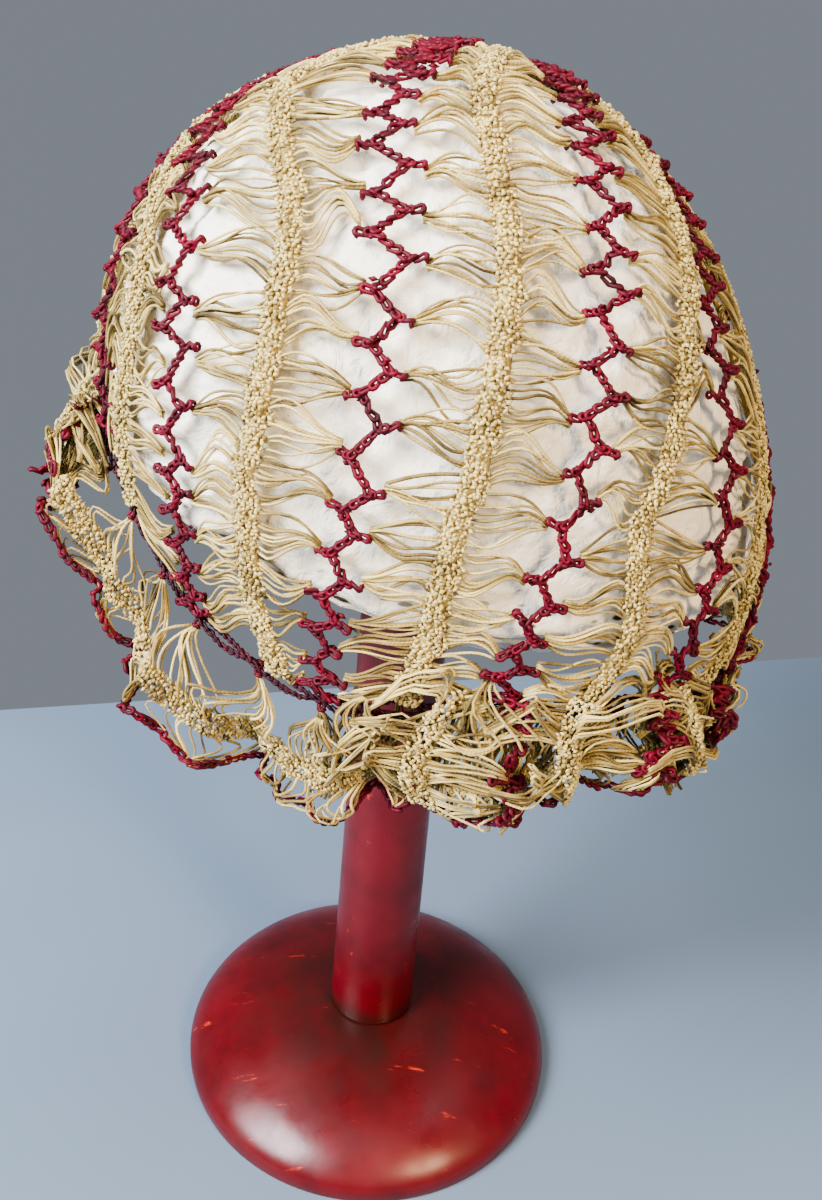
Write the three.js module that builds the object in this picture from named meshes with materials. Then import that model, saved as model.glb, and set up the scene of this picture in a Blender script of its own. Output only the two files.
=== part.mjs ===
// A hairpin-lace nightcap held on a turned stand with a tissue-padded top. Millimetres, +Z up.
// The origin is the middle of the underside of the stand's base, and -Y is the front.
import * as THREE from 'three';

const degree = Math.PI / 180;

// Turned stand
const baseRadius = 70;
const baseRimHeight = 4;
const baseHeight = 26;
const baseFullness = 1.6;
const seatMargin = 4;
const columnFootRadius = 15.7;
const columnTopRadius = 12.8;
const columnTopClearance = 0.6;
const baseSides = 40;
const baseSteps = 7;
const columnSides = 24;
const pieceGap = 0.3;

// Form of the cap, as an upright rounded body that leans to the left
const capSideways = 8;
const capForward = 3;
const capHeight = 244;
const capHalfWidth = 90;
const capHalfDepth = 94;
const capRise = 119;
const capFall = 89.5;
const capFullness = 2.28;
const capLean = 20;
const crownBack = 27;
const crownSide = 19;

// Lace strips and the crimson seams that join them
const stripCount = 13;
const firstSeamTurn = -57.4;
const crownFall = 12;
const laceThickness = 2.4;
const spineRaise = 1;
const seamBand = 12;
const narrowBandShare = 0.2;
const seamThickness = 2.6;
const chainWidth = 3;
const seamLegs = 20;
const seamEndShare = 0.015;
const stripRows = 9;
const stripColumns = [0, 0.14, 0.4, 0.5, 0.6, 0.86, 1];
const windowNarrowing = 0.22;

// Crown gather
const gatherGap = 0.8;
const gatherPucker = 1.2;
const gatherFolds = 13;
const gatherRows = 2;

// Drawn-in cord and the ruffle that hangs from it
const cordThickness = 2.6;
const ruffleLength = 28;
const ruffleThickness = 2;
const ruffleRows = [0, 0.5, 0.7, 1];
const ruffleColumns = [0, 0.14, 0.4, 0.6, 0.86, 1];
const ruffleFold = 14;
const ruffleClearance = 1.2;
const ruffleEdgeGap = 0.8;

// Tissue padding
const tissueGap = 2.2;
const tissueWall = 5;
const tissuePanels = 6;
const panelColumns = 5;
const tissueRows = 9;
const tissueCrownRows = 3;
const tuckWall = 1.6;
const tuckDepth = 18;
const tuckRows = 2;

// One row a seam, from the left of the front round by the right and the back.
// Leans are in degrees round the crown at each height; rim is how far the seam runs from the crown.
// Flare is how far the ruffle stands out from hanging straight, in degrees, and drop its share of the length.
const seamTable = [
  { crown: 0, upper: 2, middle: 6, lower: 11, end: 13, rim: 90, flare: 38, drop: 0.75 },
  { crown: 0, upper: -12, middle: 0, lower: 3, end: -1, rim: 114.5, flare: 30, drop: 1 },
  { crown: 0, upper: -4, middle: 1.5, lower: 0, end: -8, rim: 126, flare: 4, drop: 1 },
  { crown: 0, upper: -1, middle: 1, lower: 0, end: -5, rim: 123.5, flare: 10, drop: 0.95 },
  { crown: 0, upper: -5, middle: -6, lower: -1, end: -3, rim: 119, flare: 12, drop: 0.72 },
  { crown: 0, upper: -1, middle: -4, lower: -6, end: -9, rim: 116.5, flare: -4, drop: 0.6 },
  { crown: 0, upper: 2, middle: 1, lower: -2, end: -4, rim: 100, flare: 6, drop: 0.8 },
  { crown: 0, upper: 1, middle: 2, lower: 0, end: 2, rim: 84, flare: 18, drop: 1 },
  { crown: 0, upper: -2, middle: 1, lower: 2, end: -1, rim: 74, flare: 24, drop: 0.95 },
  { crown: 0, upper: 1, middle: -2, lower: 0, end: 2, rim: 67.5, flare: 16, drop: 1 },
  { crown: 0, upper: 2, middle: 1, lower: -2, end: 0, rim: 65, flare: 22, drop: 0.95 },
  { crown: 0, upper: -1, middle: 1, lower: 2, end: 1, rim: 67, flare: 14, drop: 1 },
  { crown: 0, upper: 1, middle: 2, lower: 4, end: 5, rim: 73, flare: 8, drop: 0.85 },
];
const leanShares = [0, 0.3, 0.5, 0.7, 1];
const leanNames = ['crown', 'upper', 'middle', 'lower', 'end'];

// Lower edge of the tissue by compass side: rise above the cap's middle as a share of the cap's rise,
// and reach of the tucked flap inwards as a share of the cap's half width.
const tissueEdge = [
  { side: 0, rise: 0.025, tuck: 0.28 },
  { side: 45, rise: -0.008, tuck: 0.26 },
  { side: 90, rise: -0.033, tuck: 0.26 },
  { side: 135, rise: -0.033, tuck: 0.26 },
  { side: 180, rise: 0.016, tuck: 0.26 },
  { side: 225, rise: 0.148, tuck: 0.28 },
  { side: 270, rise: 0.328, tuck: 0.366 },
  { side: 315, rise: 0.164, tuck: 0.409 },
  { side: 360, rise: 0.025, tuck: 0.28 },
];

// Materials
function cloth(colour, roughness = 0.9) {
  return new THREE.MeshStandardMaterial({ color: colour, roughness, metalness: 0 });
}
const ecruThread = cloth('#c9b98f');
const crimsonThread = cloth('#8e1230', 0.8);
const maroonThread = cloth('#3a0f1c', 0.8);
const tissuePaper = cloth('#f2efe9', 0.85);
const shadedPaper = cloth('#d9d4c8', 0.9);
const redPaint = new THREE.MeshStandardMaterial({ color: '#9a1a22', roughness: 0.35, metalness: 0 });

// Place and directions of the cap
const capCentre = new THREE.Vector3(capSideways, -capForward, capHeight);
const up = new THREE.Vector3(0, 0, 1);
const leanTurn = new THREE.Quaternion().setFromAxisAngle(new THREE.Vector3(0, 1, 0), -capLean * degree);
const uprightTurn = leanTurn.clone().invert();
const crownFront = new THREE.Vector3(0, -Math.cos(crownBack * degree), Math.sin(crownBack * degree));
const crownAxis = new THREE.Vector3(
  Math.sin(crownSide * degree),
  Math.cos(crownSide * degree) * Math.sin(crownBack * degree),
  Math.cos(crownSide * degree) * Math.cos(crownBack * degree),
);
const crownRight = crownAxis.clone().cross(crownFront).normalize();

function mix(a, b, share) {
  return a + (b - a) * share;
}

function between(table, key, position, column) {
  const last = table.findIndex((row) => row[key] >= position);
  const high = Math.max(last, 1);
  const from = table[high - 1];
  const to = table[high];
  return mix(from[column], to[column], (position - from[key]) / (to[key] - from[key]));
}

// Distance from the cap's middle to its surface, in a direction of the cap's own upright frame
function capReach(direction) {
  const height = direction.z > 0 ? capRise : capFall;
  const sum =
    Math.abs(direction.x / capHalfWidth) ** capFullness +
    Math.abs(direction.y / capHalfDepth) ** capFullness +
    Math.abs(direction.z / height) ** capFullness;
  return sum ** (-1 / capFullness);
}

function capSurface(direction, lift) {
  const reach = capReach(direction) + lift;
  return direction.clone().multiplyScalar(reach).applyQuaternion(leanTurn).add(capCentre);
}

// A point so many degrees from the crown and so many round it
function crownPoint(fall, turn, lift = 0) {
  const direction = crownAxis.clone().multiplyScalar(Math.cos(fall * degree));
  direction.addScaledVector(crownFront, Math.sin(fall * degree) * Math.cos(turn * degree));
  direction.addScaledVector(crownRight, Math.sin(fall * degree) * Math.sin(turn * degree));
  return capSurface(direction, lift);
}

function outwardAt(point) {
  return point.clone().sub(capCentre).normalize();
}

// Makes a closed solid with its faces outwards from points and triangles
function closedSolid(points, triangles) {
  const places = new Map();
  const kept = [];
  const merged = points.map((point) => {
    const name = [point.x, point.y, point.z].map((value) => value.toFixed(4)).join(' ');
    if (!places.has(name)) {
      places.set(name, kept.length);
      kept.push(point);
    }
    return places.get(name);
  });
  const faces = triangles
    .map((corners) => corners.map((corner) => merged[corner]))
    .filter(([a, b, c]) => a !== b && b !== c && c !== a);
  let volume = 0;
  for (const [a, b, c] of faces) {
    volume += kept[a].dot(kept[b].clone().cross(kept[c]));
  }
  const index = faces.flatMap(([a, b, c]) => (volume > 0 ? [a, b, c] : [a, c, b]));
  const geometry = new THREE.BufferGeometry();
  geometry.setAttribute('position', new THREE.Float32BufferAttribute(kept.flatMap((point) => point.toArray()), 3));
  geometry.setIndex(index);
  geometry.computeVertexNormals();
  return geometry;
}

// A wall over a grid of columns and rows, cut through where a cell is open.
// pointAt gives the outer face for side 0 and the inner face for side 1.
function wallSolid(columns, rows, pointAt, isOpen = () => false, around = false) {
  const columnPoints = around ? columns : columns + 1;
  const points = [];
  for (let side = 0; side < 2; side += 1) {
    for (let column = 0; column < columnPoints; column += 1) {
      for (let row = 0; row <= rows; row += 1) {
        points.push(pointAt(column, row, side));
      }
    }
  }
  const at = (column, row, side) => {
    const wrapped = around ? column % columns : column;
    return (side * columnPoints + wrapped) * (rows + 1) + row;
  };
  const isSolid = (column, row) => {
    const wrapped = around ? (column + columns) % columns : column;
    return row >= 0 && row < rows && wrapped >= 0 && wrapped < columns && !isOpen(wrapped, row);
  };
  const triangles = [];
  const addQuad = (a, b, c, d) => triangles.push([a, b, c], [a, c, d]);
  const addEdge = (from, to) => {
    addQuad(at(...from, 0), at(...from, 1), at(...to, 1), at(...to, 0));
  };
  for (let column = 0; column < columns; column += 1) {
    for (let row = 0; row < rows; row += 1) {
      if (isSolid(column, row)) {
        const corners = [[column, row], [column + 1, row], [column + 1, row + 1], [column, row + 1]];
        addQuad(...corners.map(([c, r]) => at(c, r, 0)));
        addQuad(...corners.map(([c, r]) => at(c, r, 1)).reverse());
        const neighbours = [[column, row - 1], [column + 1, row], [column, row + 1], [column - 1, row]];
        neighbours.forEach((neighbour, edge) => {
          if (!isSolid(...neighbour)) {
            addEdge(corners[edge], corners[(edge + 1) % 4]);
          }
        });
      }
    }
  }
  return closedSolid(points, triangles);
}

// A chain of straight lengths through sections of four points each
function chainSolid(sections, around = false) {
  const triangles = [];
  const count = sections.length;
  const lengths = around ? count : count - 1;
  for (let section = 0; section < lengths; section += 1) {
    const from = section * 4;
    const to = ((section + 1) % count) * 4;
    for (let corner = 0; corner < 4; corner += 1) {
      const next = (corner + 1) % 4;
      triangles.push([from + corner, from + next, to + next], [from + corner, to + next, to + corner]);
    }
  }
  if (!around) {
    const end = (count - 1) * 4;
    triangles.push([0, 2, 1], [0, 3, 2], [end, end + 1, end + 2], [end, end + 2, end + 3]);
  }
  return closedSolid(sections.flat(), triangles);
}

function squareSection(centre, sideways, outwards, halfWidth, halfThickness) {
  return [[-1, -1], [1, -1], [1, 1], [-1, 1]].map(([a, b]) => {
    return centre.clone().addScaledVector(sideways, a * halfWidth).addScaledVector(outwards, b * halfThickness);
  });
}

// Lace strips
function seamPlace(seam, share) {
  const row = seamTable[((seam % stripCount) + stripCount) % stripCount];
  const leans = leanShares.map((at, index) => ({ at, lean: row[leanNames[index]] }));
  return {
    fall: mix(crownFall, row.rim, share),
    turn: firstSeamTurn + (seam * 360) / stripCount + between(leans, 'at', share, 'lean'),
  };
}

function stripPlace(strip, share, across) {
  const left = seamPlace(strip, share);
  const right = seamPlace(strip + 1, share);
  const width = crownPoint(left.fall, left.turn).distanceTo(crownPoint(right.fall, right.turn));
  const inset = Math.min(seamBand / 2 / width, narrowBandShare);
  const turned = mix(inset, 1 - inset, across);
  return { fall: mix(left.fall, right.fall, turned), turn: mix(left.turn, right.turn, turned) };
}

function stripPoint(strip, share, across, lift = 0) {
  const place = stripPlace(strip, share, across);
  return crownPoint(place.fall, place.turn, lift);
}

function isLeftWindow(column, row) {
  return column === 1 && row % 2 === 1;
}

function isRightWindow(column, row) {
  return column === 4 && row % 2 === 0 && row > 0 && row < stripRows - 1;
}

// The bands between the windows draw in towards the seams, as the gathered threads do.
function gatheredShare(column, row) {
  const isInner = row > 0 && row < stripRows;
  const nearLeft = column === 1 && isInner;
  const nearRight = column === 5 && isInner && row > 1 && row < stripRows - 1;
  const leftShift = row % 2 === 1 ? -windowNarrowing : windowNarrowing;
  const shift = nearLeft ? leftShift : nearRight ? -leftShift : 0;
  return (row + shift) / stripRows;
}

function makeStrip(strip) {
  const raise = [0, 0, spineRaise / 2, spineRaise, spineRaise / 2, 0, 0];
  return wallSolid(
    stripColumns.length - 1,
    stripRows,
    (column, row, side) => {
      const lift = side === 0 ? laceThickness / 2 + raise[column] : -laceThickness / 2;
      return stripPoint(strip, gatheredShare(column, row), stripColumns[column], lift);
    },
    (column, row) => isLeftWindow(column, row) || isRightWindow(column, row),
  );
}

// A seam runs to and fro between the edges of its two strips.
function edgePoint(strip, across, share) {
  const row = Math.min(Math.floor(share * stripRows), stripRows - 1);
  const from = stripPoint(strip, row / stripRows, across);
  const to = stripPoint(strip, (row + 1) / stripRows, across);
  return from.lerp(to, share * stripRows - row);
}

// Each turn is mitred: its section lies across the seam, wide enough to leave the legs their own width.
function makeSeam(seam) {
  const turns = [];
  let length = 0;
  for (let leg = 0; leg <= seamLegs; leg += 1) {
    const share = mix(seamEndShare, 1 - seamEndShare, leg / seamLegs);
    const left = edgePoint(seam - 1, 1, share);
    const right = edgePoint(seam, 0, share);
    const middle = left.clone().lerp(right, 0.5);
    length += leg > 0 ? middle.distanceTo(turns[leg - 1].middle) : 0;
    turns.push({ middle, across: right.clone().sub(left).normalize(), band: left.distanceTo(right) });
  }
  const rise = length / seamLegs;
  const sections = turns.map(({ middle, across, band }, leg) => {
    const halfMitre = (chainWidth / 2) * Math.hypot(1, (band - chainWidth) / rise);
    const swing = band / 2 - pieceGap - halfMitre;
    const point = middle.clone().addScaledVector(across, leg % 2 === 0 ? -swing : swing);
    return squareSection(point, across, outwardAt(point), halfMitre, seamThickness / 2);
  });
  return chainSolid(sections);
}

function makeCrownGather() {
  const edgeFall = crownFall - gatherGap / (capRise * degree);
  return wallSolid(
    gatherFolds * 2,
    gatherRows,
    (column, row, side) => {
      const pucker = row === 1 && column % 2 === 0 ? gatherPucker : 0;
      const lift = side === 0 ? laceThickness / 2 + pucker : -laceThickness / 2;
      return crownPoint((edgeFall * row) / gatherRows, (column * 180) / gatherFolds, lift);
    },
    () => false,
    true,
  );
}

// Places along the rim: one for each ruffle column of each strip
const rimPlaces = [];
for (let strip = 0; strip < stripCount; strip += 1) {
  ruffleColumns.forEach((across, column) => {
    const end = stripPoint(strip, 1, across);
    const place = stripPlace(strip, 1, across);
    const downward = crownPoint(place.fall + 1, place.turn).sub(end).normalize();
    const from = seamTable[strip];
    const to = seamTable[(strip + 1) % stripCount];
    const fold = column > 1 && column < 4 ? -ruffleFold : ruffleFold;
    rimPlaces.push({
      cord: end.clone().addScaledVector(downward, pieceGap + cordThickness / 2),
      downward,
      flare: (mix(from.flare, to.flare, across) + fold) * degree,
      length: ruffleLength * mix(from.drop, to.drop, across),
    });
  });
}

function makeDrawnCord() {
  const sections = rimPlaces.map(({ cord, downward }) => {
    return squareSection(cord, downward, outwardAt(cord), cordThickness / 2, cordThickness / 2);
  });
  return chainSolid(sections, true);
}

function rufflePlace(rim, share) {
  const outward = new THREE.Vector3(rim.cord.x - capCentre.x, rim.cord.y - capCentre.y, 0).normalize();
  const hang = up.clone().multiplyScalar(-Math.cos(rim.flare)).addScaledVector(outward, Math.sin(rim.flare));
  const face = outward.multiplyScalar(Math.cos(rim.flare)).addScaledVector(up, Math.sin(rim.flare));
  const start = cordThickness / 2 + ruffleClearance;
  return { point: rim.cord.clone().addScaledVector(hang, start + rim.length * share), hang, face };
}

// The ruffle's length below one lace strip. Its last column keeps clear of the next length.
function makeRuffle(strip) {
  const columns = ruffleColumns.length;
  const ruffleCorner = (column, row, side) => {
    const rim = rimPlaces[(strip * columns + column) % rimPlaces.length];
    const place = rufflePlace(rim, ruffleRows[row]);
    return place.point.addScaledVector(place.face, side === 0 ? ruffleThickness / 2 : -ruffleThickness / 2);
  };
  return wallSolid(
    columns,
    ruffleRows.length - 1,
    (column, row, side) => {
      const corner = ruffleCorner(column, row, side);
      if (column === columns) {
        const back = ruffleCorner(column - 1, row, side).sub(corner).normalize();
        corner.addScaledVector(back, pieceGap);
      }
      return corner;
    },
    (column, row) => row === 0 && [1, 3].includes(column),
  );
}

function makeRuffleEdge() {
  const sections = rimPlaces.map((rim) => {
    const place = rufflePlace(rim, 1);
    const centre = place.point.addScaledVector(place.hang, ruffleEdgeGap + cordThickness / 2);
    return squareSection(centre, place.hang, place.face, cordThickness / 2, cordThickness / 2);
  });
  return chainSolid(sections, true);
}

// Tissue padding
const tissueLift = -laceThickness / 2 - tissueGap;
const tissueColumns = tissuePanels * panelColumns;
const halfGapTurn = pieceGap / 2 / (capHalfWidth * degree);
// The flaps' inner ends lie nearer the column, so the same gap there takes a wider turn.
const tuckGapTurn = 2 * halfGapTurn;

function tissuePoint(side, rise, lift) {
  const level = Math.cos(rise * degree);
  const compass = side * degree;
  const direction = new THREE.Vector3(level * Math.sin(compass), -level * Math.cos(compass), Math.sin(rise * degree));
  return capSurface(direction.applyQuaternion(uprightTurn), lift);
}

// How far above level, in degrees, the surface stands at a height
function riseAtHeight(side, height, lift) {
  let low = -60;
  let high = 89;
  for (let step = 0; step < 30; step += 1) {
    const middle = (low + high) / 2;
    if (tissuePoint(side, middle, lift).z < height) {
      low = middle;
    } else {
      high = middle;
    }
  }
  return low;
}

function tissueEdgeHeight(side) {
  return capHeight + capRise * between(tissueEdge, 'side', side, 'rise');
}

// A point of the dome's wall. The shifts, in degrees, keep neighbouring pieces of it clear of each other.
function domePoint(column, row, side, columnShift, rowShift) {
  const compass = (column * 360) / tissueColumns;
  const lift = side === 0 ? tissueLift : tissueLift - tissueWall;
  const lowest = riseAtHeight(compass, tissueEdgeHeight(compass), lift);
  const rise = mix(90, lowest, row / tissueRows) + rowShift;
  return tissuePoint(compass + columnShift / Math.cos(rise * degree), rise, lift);
}

function makeTissueCrown() {
  return wallSolid(
    tissueColumns,
    tissueCrownRows,
    (column, row, side) => domePoint(column, row, side, 0, row === tissueCrownRows ? halfGapTurn : 0),
    () => false,
    true,
  );
}

function makeTissuePanel(panel) {
  return wallSolid(panelColumns, tissueRows - tissueCrownRows, (column, row, side) => {
    const columnShift = column === 0 ? halfGapTurn : column === panelColumns ? -halfGapTurn : 0;
    const rowShift = row === 0 ? -halfGapTurn : 0;
    return domePoint(panel * panelColumns + column, tissueCrownRows + row, side, columnShift, rowShift);
  });
}

// The paper's lower edge is tucked in under the dome towards the column, in one flap under each panel.
function makeTissueTuck(panel) {
  return wallSolid(panelColumns, tuckRows, (column, row, side) => {
    const shift = column === 0 ? tuckGapTurn : column === panelColumns ? -tuckGapTurn : 0;
    const compass = ((panel * panelColumns + column) * 360) / tissueColumns + shift;
    const reach = capHalfWidth * between(tissueEdge, 'side', compass, 'tuck');
    const lift = tissueLift - tissueWall / 2;
    const edge = tissuePoint(compass, riseAtHeight(compass, tissueEdgeHeight(compass), lift), lift);
    const inward = new THREE.Vector3(capCentre.x - edge.x, capCentre.y - edge.y, 0).normalize();
    const share = row / tuckRows;
    edge.z -= pieceGap + (side === 0 ? tuckWall : 0) + tuckDepth * share;
    return edge.addScaledVector(inward, reach * share);
  });
}

// Turned stand
function makeBase() {
  const seat = columnFootRadius + seatMargin;
  const profile = [new THREE.Vector2(0, 0), new THREE.Vector2(baseRadius, 0)];
  for (let step = 0; step <= baseSteps; step += 1) {
    const share = mix(1, seat / baseRadius, step / baseSteps);
    const swell = (1 - share ** 2) ** (1 / baseFullness);
    const seatSwell = (1 - (seat / baseRadius) ** 2) ** (1 / baseFullness);
    const height = baseRimHeight + ((baseHeight - baseRimHeight) * swell) / seatSwell;
    profile.push(new THREE.Vector2(baseRadius * share, height));
  }
  profile.push(new THREE.Vector2(0, baseHeight));
  return profile;
}

// Height of the inside of the dome over a point of the column's top
function ceilingHeight(x, y) {
  let low = capCentre.z;
  let high = capCentre.z + capRise;
  for (let step = 0; step < 30; step += 1) {
    const middle = (low + high) / 2;
    const reach = new THREE.Vector3(x, y, middle).sub(capCentre);
    const limit = capReach(reach.clone().normalize().applyQuaternion(uprightTurn)) + tissueLift - tissueWall;
    if (reach.length() < limit) {
      low = middle;
    } else {
      high = middle;
    }
  }
  return low;
}

function makeColumnProfile() {
  let top = ceilingHeight(0, 0);
  for (let side = 0; side < columnSides; side += 1) {
    const turn = (side * 2 * Math.PI) / columnSides;
    top = Math.min(top, ceilingHeight(columnTopRadius * Math.cos(turn), columnTopRadius * Math.sin(turn)));
  }
  const foot = baseHeight + pieceGap;
  const crown = top - columnTopClearance;
  return [
    new THREE.Vector2(0, foot),
    new THREE.Vector2(columnFootRadius, foot),
    new THREE.Vector2(columnTopRadius, crown),
    new THREE.Vector2(0, crown),
  ];
}

// Turns a profile about +Z
function turnedSolid(profile, sides) {
  return new THREE.LatheGeometry(profile, sides).rotateX(Math.PI / 2);
}

// Assembly
const nightcap = new THREE.Group();

function addPiece(name, geometry, material) {
  const mesh = new THREE.Mesh(geometry, material);
  mesh.name = name;
  nightcap.add(mesh);
}

addPiece('stand_base', turnedSolid(makeBase(), baseSides), redPaint);
addPiece('stand_column', turnedSolid(makeColumnProfile(), columnSides), redPaint);
addPiece('tissue_crown', makeTissueCrown(), tissuePaper);
for (let panel = 0; panel < tissuePanels; panel += 1) {
  addPiece(`tissue_panel_${panel + 1}`, makeTissuePanel(panel), tissuePaper);
  addPiece(`tissue_tuck_${panel + 1}`, makeTissueTuck(panel), shadedPaper);
}
for (let strip = 0; strip < stripCount; strip += 1) {
  addPiece(`lace_strip_${strip + 1}`, makeStrip(strip), ecruThread);
  addPiece(`joining_seam_${strip + 1}`, makeSeam(strip), crimsonThread);
  addPiece(`ruffle_${strip + 1}`, makeRuffle(strip), ecruThread);
}
addPiece('crown_gather', makeCrownGather(), ecruThread);
addPiece('drawn_cord', makeDrawnCord(), maroonThread);
addPiece('ruffle_edge', makeRuffleEdge(), crimsonThread);

export default nightcap;
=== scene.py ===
"""A hairpin-lace nightcap on a turned stand with a tissue-padded top.

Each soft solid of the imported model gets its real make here: loops of thread, knotted spines,
crochet chain and crumpled paper. Lengths are millimetres until a mesh is made.
"""

import math
from functools import partial

import bpy
import numpy as np
from mathutils import Matrix, Vector, noise


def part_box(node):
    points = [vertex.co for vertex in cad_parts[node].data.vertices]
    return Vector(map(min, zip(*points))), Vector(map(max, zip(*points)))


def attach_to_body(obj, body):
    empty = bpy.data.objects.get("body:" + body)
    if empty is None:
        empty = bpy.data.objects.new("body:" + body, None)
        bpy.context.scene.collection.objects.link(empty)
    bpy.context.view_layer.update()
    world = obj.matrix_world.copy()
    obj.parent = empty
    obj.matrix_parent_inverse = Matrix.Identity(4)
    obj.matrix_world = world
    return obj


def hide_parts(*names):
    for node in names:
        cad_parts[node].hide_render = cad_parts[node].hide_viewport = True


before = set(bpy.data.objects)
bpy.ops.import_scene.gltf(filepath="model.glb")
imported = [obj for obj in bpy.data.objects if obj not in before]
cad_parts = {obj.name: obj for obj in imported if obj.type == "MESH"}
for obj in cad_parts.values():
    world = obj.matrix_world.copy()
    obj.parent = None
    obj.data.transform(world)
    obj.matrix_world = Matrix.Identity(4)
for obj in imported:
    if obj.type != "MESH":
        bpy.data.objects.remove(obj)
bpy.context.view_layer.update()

MM = 0.001
DEGREE = math.pi / 180

# Form of the cap: a rounded body that leans to the left, as its solids have it
CAP_CENTRE = np.array([8.0, -3.0, 244.0])
CAP_HALF_WIDTH = 90
CAP_HALF_DEPTH = 94
CAP_RISE = 119
CAP_FALL = 89.5
CAP_FULLNESS = 2.28
CAP_LEAN = 20
CROWN_BACK = 27
CROWN_SIDE = 19

# Lace strips and seams
STRIPS = 13
FIRST_SEAM_TURN = -57.4
CROWN_FALL = 12
LACE_THICKNESS = 2.4
SEAM_BAND = 12
NARROW_BAND_SHARE = 0.2
PIECE_GAP = 0.3
CORD_THICKNESS = 2.6
RUFFLE_LENGTH = 28
RUFFLE_CLEARANCE = 1.2
RUFFLE_COLUMNS = [0, 0.14, 0.4, 0.6, 0.86, 1]
RUFFLE_FOLD = 14
TISSUE_GAP = 2.2
TISSUE_WALL = 5

# One row a seam, from the left of the front round by the right and the back:
# leans in degrees at five heights, fall of the rim, and the ruffle's flare and share of its length
SEAM_TABLE = np.array([
    (0, 2, 6, 11, 13, 90, 38, 0.75),
    (0, -12, 0, 3, -1, 114.5, 30, 1),
    (0, -4, 1.5, 0, -8, 126, 4, 1),
    (0, -1, 1, 0, -5, 123.5, 10, 0.95),
    (0, -5, -6, -1, -3, 119, 12, 0.72),
    (0, -1, -4, -6, -9, 116.5, -4, 0.6),
    (0, 2, 1, -2, -4, 100, 6, 0.8),
    (0, 1, 2, 0, 2, 84, 18, 1),
    (0, -2, 1, 2, -1, 74, 24, 0.95),
    (0, 1, -2, 0, 2, 67.5, 16, 1),
    (0, 2, 1, -2, 0, 65, 22, 0.95),
    (0, -1, 1, 2, 1, 67, 14, 1),
    (0, 1, 2, 4, 5, 73, 8, 0.85),
])
LEANS = slice(0, 5)
RIM, FLARE, DROP = 5, 6, 7
LEAN_SHARES = [0, 0.3, 0.5, 0.7, 1]

# Where each strip's spine wanders between its seams, by share of the way from crown to rim
SPINE_SHARES = [0, 0.25, 0.45, 0.6, 0.75, 0.9, 1]
SPINE_TABLE = {
    0: (0.5, 0.5, 0.5, 0.6, 0.5, 0.34, 0.36),
    1: (0.5, 0.36, 0.57, 0.52, 0.42, 0.5, 0.68),
    2: (0.5, 0.42, 0.5, 0.51, 0.48, 0.53, 0.49),
    3: (0.5, 0.7, 0.74, 0.55, 0.38, 0.58, 0.52),
    4: (0.5, 0.58, 0.68, 0.74, 0.64, 0.62, 0.58),
}

# Lower edge of the tissue by compass side, and reach of its tucked flap inwards
TISSUE_SIDES = np.arange(0, 361, 45)
TISSUE_RISES = [0.025, -0.008, -0.033, -0.033, 0.016, 0.148, 0.328, 0.164, 0.025]
TISSUE_HEIGHTS = CAP_CENTRE[2] + CAP_RISE * np.array(TISSUE_RISES)
TUCK_REACHES = CAP_HALF_WIDTH * np.array([0.28, 0.26, 0.26, 0.26, 0.26, 0.28, 0.366, 0.409, 0.28])
TUCK_DEPTH = 18
TISSUE_PANELS = 6

# Thread and stitches
THREAD_RADIUS = 0.36
THREADS_IN_BUNDLE = 9
THREAD_STEPS = 10
THREAD_SIDES = 4
HALF_ZIGZAG = 5.0
ZIGZAG_SHARES = [0, 0.08, 0.2, 0.45, 0.7, 0.9, 1]
ZIGZAG_SPACING = [0.5, 0.8, 0.9, 0.95, 1.25, 0.95, 0.45]
SPINE_WIDTH = 6.2
GRAIN_ROW = 0.95
GRAIN_COLUMNS = 7
LINK_PITCH = 2.3
FAN_PITCH = 16
SEAM_STEPS = 60
STRIP_STEPS = 40
CORE_STEPS = 70
CORE_SIDES = 8
CORD_STEPS = 520

# Ruffle. The gather isn't measured: it keeps the sheet's area within what the sheet test allows.
RUFFLE_GATHER = 1.75
RUFFLE_STEPS = 900
RUFFLE_MEASURE_STEPS = 300
RUFFLE_SPINE_COLUMNS = 6
RUFFLE_FAN_THREADS = 13
HEM_FAN_THREADS = 10
CRUMPLED_FAN_THREADS = 8
CRUMPLED_MARKS = (2.1, 5.1)
CRUMPLED_FANS = 13
FOLD_MARKS = (2.72, 3.5, 4.3, 12.6)
FOLD_STRIP_WIDTH = 42
FOLD_ROWS = 40
FOLD_BUNDLES = 5
FOLD_THREADS = 8
FOLD_EDGE_MARKS = (3.1, 3.92, 4.75, 12.8)
FOLD_EDGE_TURNS = 13
RUFFLE_SPINE_SHARE = 0.6


def linear(hex_colour):
    """Turns an sRGB hex colour into a linear one."""
    channels = [int(hex_colour[i : i + 2], 16) / 255 for i in (1, 3, 5)]
    return [c / 12.92 if c <= 0.04045 else ((c + 0.055) / 1.055) ** 2.4 for c in channels] + [1]


def set_node(material, node, settings=None, links=None):
    """Sets a node's values or sockets, and links its sockets."""
    for name, value in (settings or {}).items():
        if isinstance(name, int) or name in node.inputs:
            node.inputs[name].default_value = value
        else:
            setattr(node, name, value)
    for name, source in (links or {}).items():
        material.node_tree.links.new(source, node.inputs[name])


def add_node(material, kind, settings=None, links=None):
    """Adds a node with its settings and links, and gives its outputs."""
    node = material.node_tree.nodes.new("ShaderNode" + kind)
    set_node(material, node, settings, links)
    return node.outputs


def new_material(name):
    """A new material with its shader, its coordinates, and the function that adds nodes to it."""
    material = bpy.data.materials.new(name)
    material.use_nodes = True
    add = partial(add_node, material)
    return material, material.node_tree.nodes["Principled BSDF"], add("TexCoord"), add


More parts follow.
